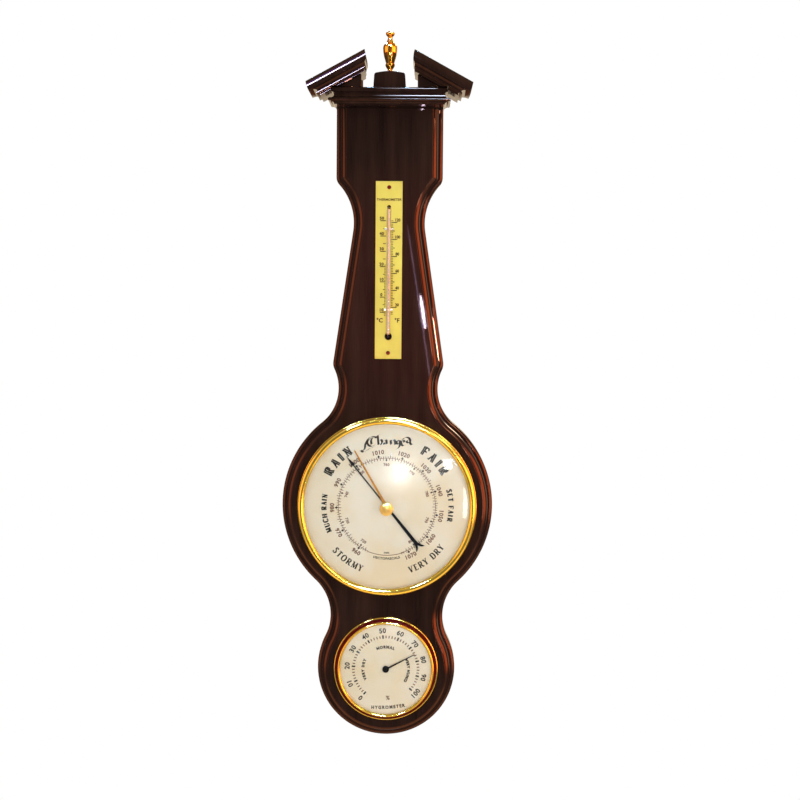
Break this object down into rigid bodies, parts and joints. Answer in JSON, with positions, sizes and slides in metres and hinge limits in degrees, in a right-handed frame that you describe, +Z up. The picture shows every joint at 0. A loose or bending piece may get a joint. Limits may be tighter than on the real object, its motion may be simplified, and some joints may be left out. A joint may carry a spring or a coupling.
{
  "type": "weather station",
  "caption": "Wall weather station: banjo-shaped lacquered wood case with a broken pediment, brass-plate thermometer, aneroid barometer with set hand, and hygrometer.",
  "frame": {"origin": "on the flat back of the case, on the centre line, 29 mm below the hanger plate's middle, where the case lies against the wall", "axes": "+Z up along the case, +Y into the wall, front faces -Y, +X to the viewer's right"},
  "size_m": [0.1798, 0.048, 0.5992],
  "materials": {
    "lacquered_wood": "dark red-brown mahogany stain under high-gloss lacquer",
    "polished_brass": "polished and clear lacquered",
    "satin_brass": "fine-brushed sheet with printed scales",
    "steel": "plain bright steel",
    "tinplate": "drawn tinned sheet",
    "blued_steel": "heat-blued almost black, satin",
    "nickel_silver": "pressed nickel silver, corrugated",
    "dial_card": "cream coated card with printed scales",
    "hygro_coil": "metal strip with a moisture-sensitive paper face",
    "red_spirit": "dyed spirit in glass",
    "glass": "clear, polished"
  },
  "bodies": {
    "case": {"case_board": "lacquered_wood", "barometer_bezel": "polished_brass", "barometer_glass": "glass", "hygrometer_bezel": "polished_brass", "hygrometer_glass": "glass", "finial": "polished_brass", "barometer_pan": "tinplate", "hygrometer_case": "tinplate", "hygrometer_coil": "hygro_coil", "barometer_dial": "dial_card", "hygrometer_dial": "dial_card", "hairspring": "steel", "aneroid_capsule": "nickel_silver", "thermometer_plate": "satin_brass", "barometer_glass_ring": "polished_brass", "hygrometer_glass_ring": "polished_brass", "hanger_plate": "steel", "base_plate": "polished_brass", "tube_clip_upper": "polished_brass", "tube_clip_lower": "polished_brass", "finial_plinth": "lacquered_wood", "thermometer_bulb": "red_spirit", "hygrometer_bridge": "polished_brass", "raking_cornice_left": "lacquered_wood", "raking_cornice_right": "lacquered_wood", "horizontal_cornice": "lacquered_wood", "thermometer_tube": "glass", "hanger_screw_left": "steel", "hanger_screw_right": "steel", "plate_pin_upper": "polished_brass", "plate_pin_lower": "polished_brass", "pan_screw_1": "steel", "pan_screw_2": "steel", "pan_screw_3": "steel", "rocker_bearing_left": "polished_brass", "rocker_bearing_right": "polished_brass", "arbor_bridge": "polished_brass", "spring_bracket": "steel", "spirit_thread": "red_spirit", "drum_chain": "steel", "bridge_pillar_left": "polished_brass", "bridge_pillar_right": "polished_brass", "hygrometer_case_screw_1": "steel", "hygrometer_case_screw_2": "steel", "main_spring": "steel", "tympanum_left": "lacquered_wood", "tympanum_right": "lacquered_wood"},
    "pointer": {"barometer_pointer": "blued_steel", "pointer_arbor": "steel"},
    "rocker": {"rocking_bar": "polished_brass"},
    "lever": {"main_lever": "polished_brass", "lever_link": "steel"},
    "set_hand": {"set_hand": "polished_brass", "set_hand_collar": "polished_brass", "set_knob": "polished_brass"},
    "adjuster": {"adjusting_screw": "polished_brass"},
    "humidity_pointer": {"hygrometer_pointer": "blued_steel", "hygrometer_arbor": "steel"}
  },
  "joints": [
    {"name": "pressure_pointer", "type": "hinge", "parent": "case", "child": "pointer", "pos_m": [0, -0.02, -0.284], "axis": [0, 1, 0], "range_deg": [-104, 189], "deforming": ["hairspring", "drum_chain"]},
    {"name": "rocking_bar_turn", "type": "hinge", "parent": "case", "child": "rocker", "pos_m": [0, -0.0062, -0.262], "axis": [1, 0, 0], "range_deg": [-23, 42], "deforming": ["drum_chain"]},
    {"name": "main_lever_tilt", "type": "hinge", "parent": "case", "child": "lever", "pos_m": [-0.0093, -0.0125, -0.31], "axis": [1, 0, 0], "range_deg": [-2.1, 1.2]},
    {"name": "set_hand_turn", "type": "hinge", "parent": "case", "child": "set_hand", "pos_m": [0, -0.026, -0.284], "axis": [0, 1, 0], "continuous": true},
    {"name": "adjusting_screw_turn", "type": "hinge", "parent": "case", "child": "adjuster", "pos_m": [-0.0363, -0.002, -0.31], "axis": [0, 1, 0], "range_deg": [-360, 360]},
    {"name": "humidity_pointer", "type": "hinge", "parent": "case", "child": "humidity_pointer", "pos_m": [0, -0.02, -0.424], "axis": [0, 1, 0], "range_deg": [-201, 67], "deforming": ["hygrometer_coil"]}
  ],
  "couplings": [
    {"joint": "rocking_bar_turn", "follows": "pressure_pointer", "ratio": 0.2171},
    {"joint": "main_lever_tilt", "follows": "pressure_pointer", "ratio": -0.0105}
  ]
}
